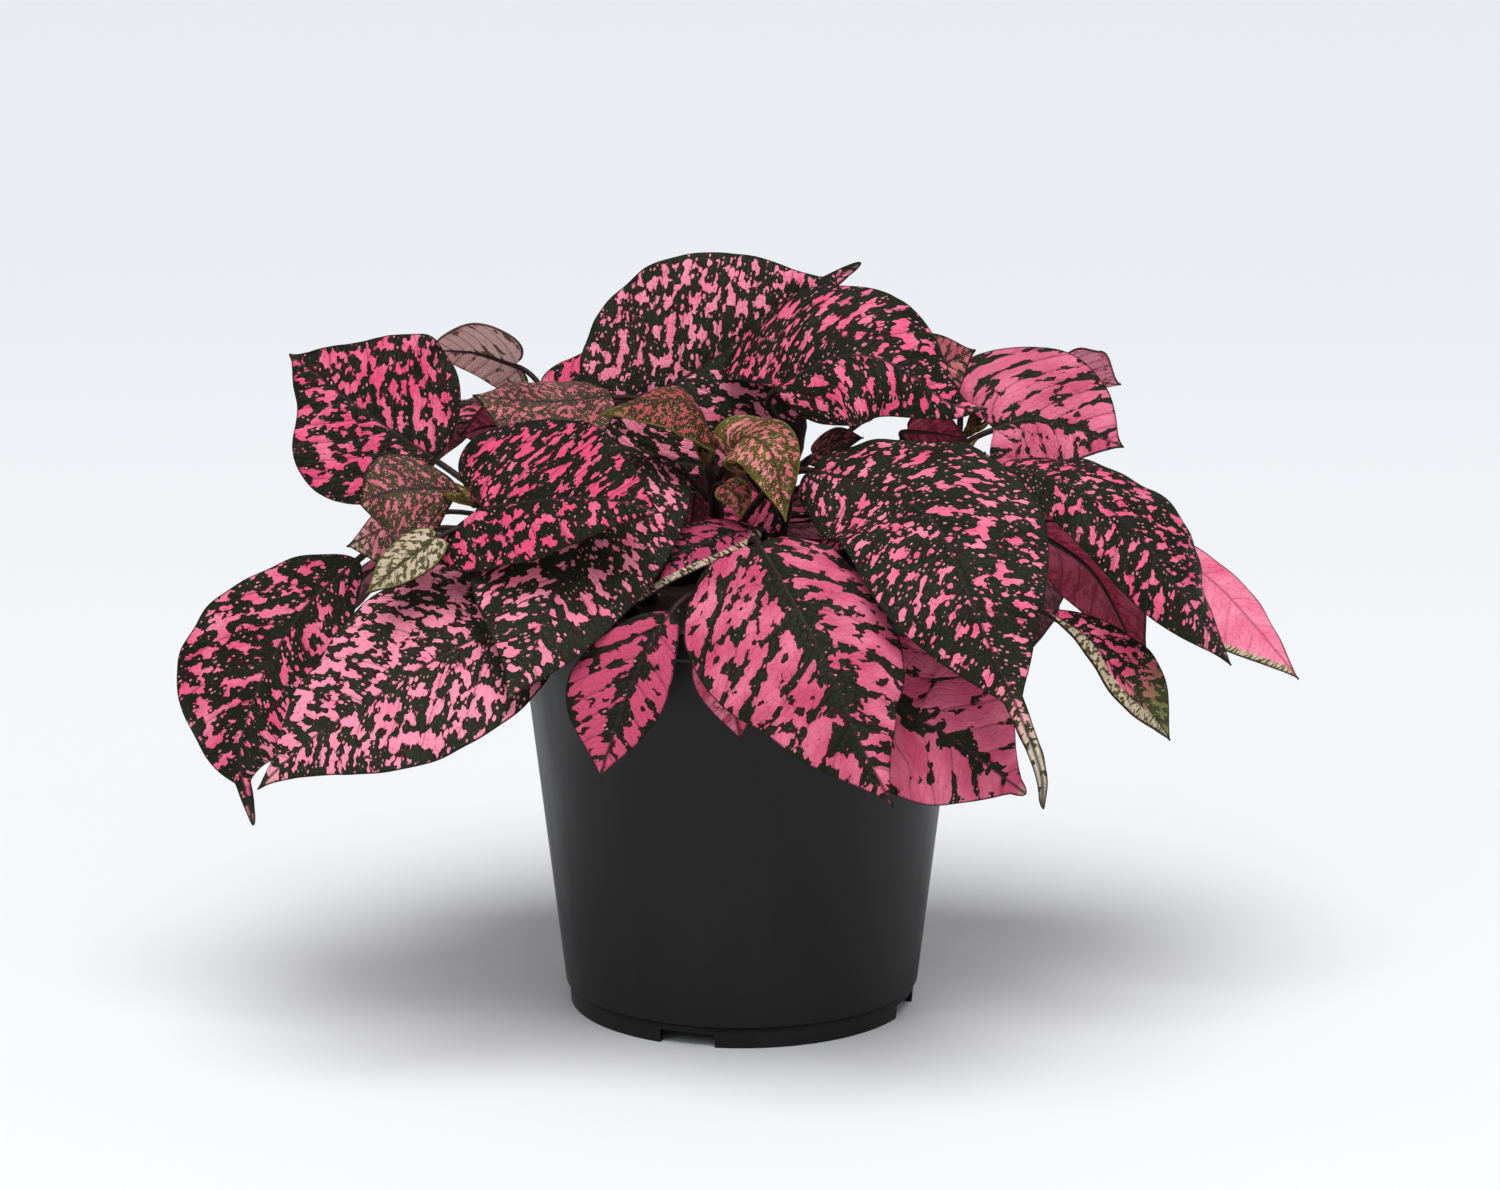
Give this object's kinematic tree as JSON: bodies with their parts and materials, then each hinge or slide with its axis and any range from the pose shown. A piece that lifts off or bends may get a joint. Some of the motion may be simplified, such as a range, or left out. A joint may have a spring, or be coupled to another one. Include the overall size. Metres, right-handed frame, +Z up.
{
  "type": "potted polka dot plant",
  "caption": "Bushy plant with broad pink and dark green spotted leaves on branching stems, in a tapered black nursery pot filled with potting mix.",
  "frame": {"origin": "on the surface that the pot stands on, below the middle of the plant's bounding box, which is the pot's axis to within 1 mm", "axes": "+Z up; -Y is the front of the plant, as pictured; +X is to the right of that view"},
  "size_m": [0.2726, 0.169, 0.1798],
  "materials": {
    "pot": "satin",
    "soil": "matte",
    "stem": "satin",
    "leaf": "satin"
  },
  "bodies": {
    "root": {"pot": "pot", "soil": "soil", "stem_center": "stem", "stem_crown": "stem", "stem_left": "stem", "stem_back_left": "stem", "stem_right": "stem", "stem_back_right": "stem", "stem_front": "stem", "stem_front_left": "stem", "stem_back": "stem", "leaf_crown_back": "leaf", "leaf_crown_front": "leaf", "leaf_right_back_upper": "leaf", "leaf_right_back_under": "leaf", "leaf_right_top_small": "leaf", "leaf_right_mid": "leaf", "leaf_front_right": "leaf", "leaf_front_center": "leaf", "leaf_front_right_low": "leaf", "leaf_front_left_small": "leaf", "leaf_under_center": "leaf", "leaf_left_front_low": "leaf", "leaf_left_outer": "leaf", "leaf_front_left_mid": "leaf", "leaf_left_mid_over": "leaf", "leaf_left_young": "leaf", "leaf_left_tip_pale": "leaf", "leaf_top_left": "leaf", "leaf_top_left_under": "leaf", "leaf_left_mid_top": "leaf", "leaf_young_left": "leaf", "leaf_young_right": "leaf", "leaf_young_center": "leaf", "leaf_beige_edge": "leaf", "leaf_right_under": "leaf", "leaf_right_low_tail": "leaf", "leaf_right_outer": "leaf", "leaf_right_gap_under": "leaf", "leaf_gap_brown": "leaf", "leaf_left_behind_crown": "leaf", "leaf_left_tip_green": "leaf", "leaf_back_right_low": "leaf", "leaf_back_center_low": "leaf", "leaf_back_left_low": "leaf", "leaf_back_right_mid": "leaf", "leaf_back_center_top": "leaf", "leaf_back_left_top": "leaf", "leaf_back_right_side": "leaf", "leaf_back_left_side": "leaf", "leaf_crown_rear": "leaf", "leaf_crown_rear_left": "leaf", "leaf_crown_rear_right": "leaf", "leaf_back_mid_left": "leaf", "leaf_back_mid_right": "leaf", "leaf_inner_left": "leaf", "leaf_inner_right": "leaf", "leaf_inner_front": "leaf", "leaf_left_gap_under": "leaf", "leaf_inner_back": "leaf"}
  },
  "joints": []
}
